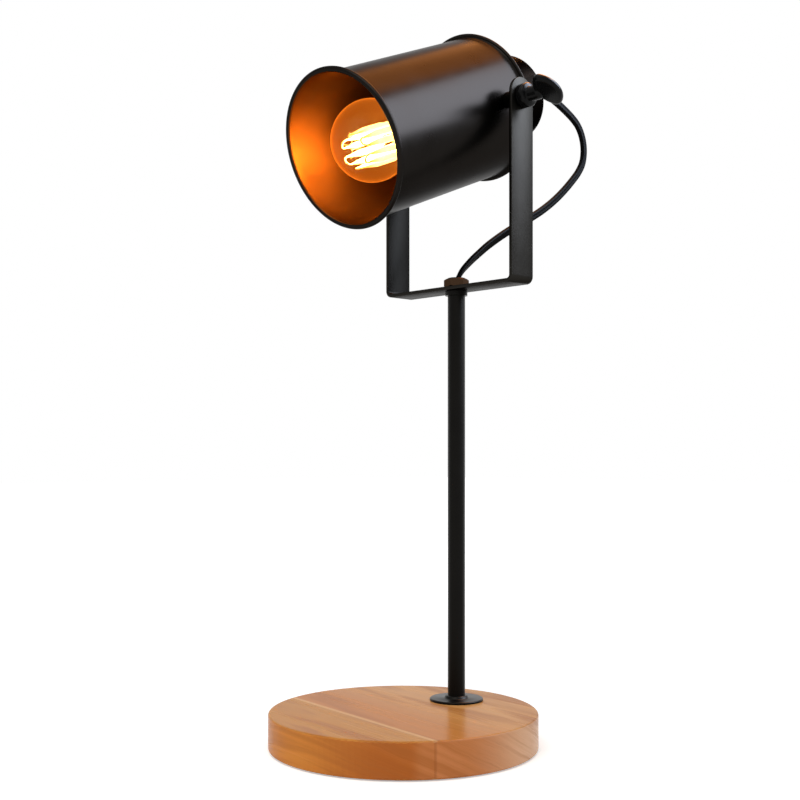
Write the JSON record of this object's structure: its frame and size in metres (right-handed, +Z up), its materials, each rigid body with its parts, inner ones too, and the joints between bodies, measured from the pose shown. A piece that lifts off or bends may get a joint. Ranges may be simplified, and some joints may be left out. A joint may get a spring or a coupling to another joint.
{
  "type": "tilting spotlight table lamp",
  "caption": "Table lamp with a round wooden foot, an off-centre black post and a flared tubular spotlight head that tilts in a U-shaped yoke, with a globe bulb and a looped flat cord.",
  "frame": {"origin": "under the centre of the wooden foot, on the table", "axes": "+Z up, the head points to -Y at rest, X along the tilt pivot"},
  "size_m": [0.1522, 0.2382, 0.4061],
  "materials": {
    "wood": "satin lacquered strips of light hardwood glued side by side",
    "felt": "thin felt",
    "black_paint": "satin black powder coat",
    "shade_paint": "semi-gloss black paint, gold lacquer inside the shade",
    "black_plastic": "fine satin",
    "white_plastic": "smooth",
    "black_rubber": "smooth moulded",
    "cord_sheath": "smooth extruded sheath",
    "steel": "zinc plated",
    "brass": "plain",
    "cap_metal": "rolled",
    "amber_glass": "clear amber tint",
    "clear_glass": "clear",
    "filament_metal": "glowing"
  },
  "bodies": {
    "stand": {"wood_foot": "wood", "felt_pad": "felt", "rose": "black_paint", "post": "black_paint", "foot_washer": "steel", "foot_nut": "steel", "terminal_block": "white_plastic", "terminal_screws": "brass", "block_screw": "steel", "outlet_grommet": "black_rubber", "post_lead": "cord_sheath", "lock_nut": "black_paint", "top_nut": "black_paint"},
    "yoke": {"yoke": "black_paint", "head_cord": "cord_sheath"},
    "head": {"shade": "shade_paint", "rear_plate": "black_paint", "socket_cup": "shade_paint", "flange_screws": "steel", "lampholder": "black_plastic", "holder_screws": "steel", "screw_shell": "brass", "centre_contact": "brass", "bulb_glass": "amber_glass", "bulb_cap": "cap_metal", "bulb_insulator": "black_plastic", "bulb_contact": "cap_metal", "bulb_stem": "clear_glass", "bulb_filament": "filament_metal", "core_wires": "white_plastic", "strain_relief": "black_rubber", "pivot_spacers": "black_paint", "pivot_nuts": "steel"},
    "right_knob": {"right_stud": "steel", "right_thumb_knob": "black_plastic"},
    "left_knob": {"left_stud": "steel", "left_thumb_knob": "black_plastic"}
  },
  "joints": [
    {"name": "yoke_pan", "type": "hinge", "parent": "stand", "child": "yoke", "pos_m": [0, 0.0426, 0.2587], "axis": [0, 0, 1], "range_deg": [-90, 90]},
    {"name": "head_tilt", "type": "hinge", "parent": "yoke", "child": "head", "pos_m": [0, 0.0426, 0.3604], "axis": [1, 0, 0], "range_deg": [-52, 33], "deforming": ["head_cord"]},
    {"name": "right_knob_turn", "type": "hinge", "parent": "head", "child": "right_knob", "pos_m": [0.0585, 0.0426, 0.3604], "axis": [1, 0, 0], "range_deg": [0, 180]},
    {"name": "left_knob_turn", "type": "hinge", "parent": "head", "child": "left_knob", "pos_m": [-0.0585, 0.0426, 0.3604], "axis": [-1, 0, 0], "range_deg": [0, 180]}
  ]
}
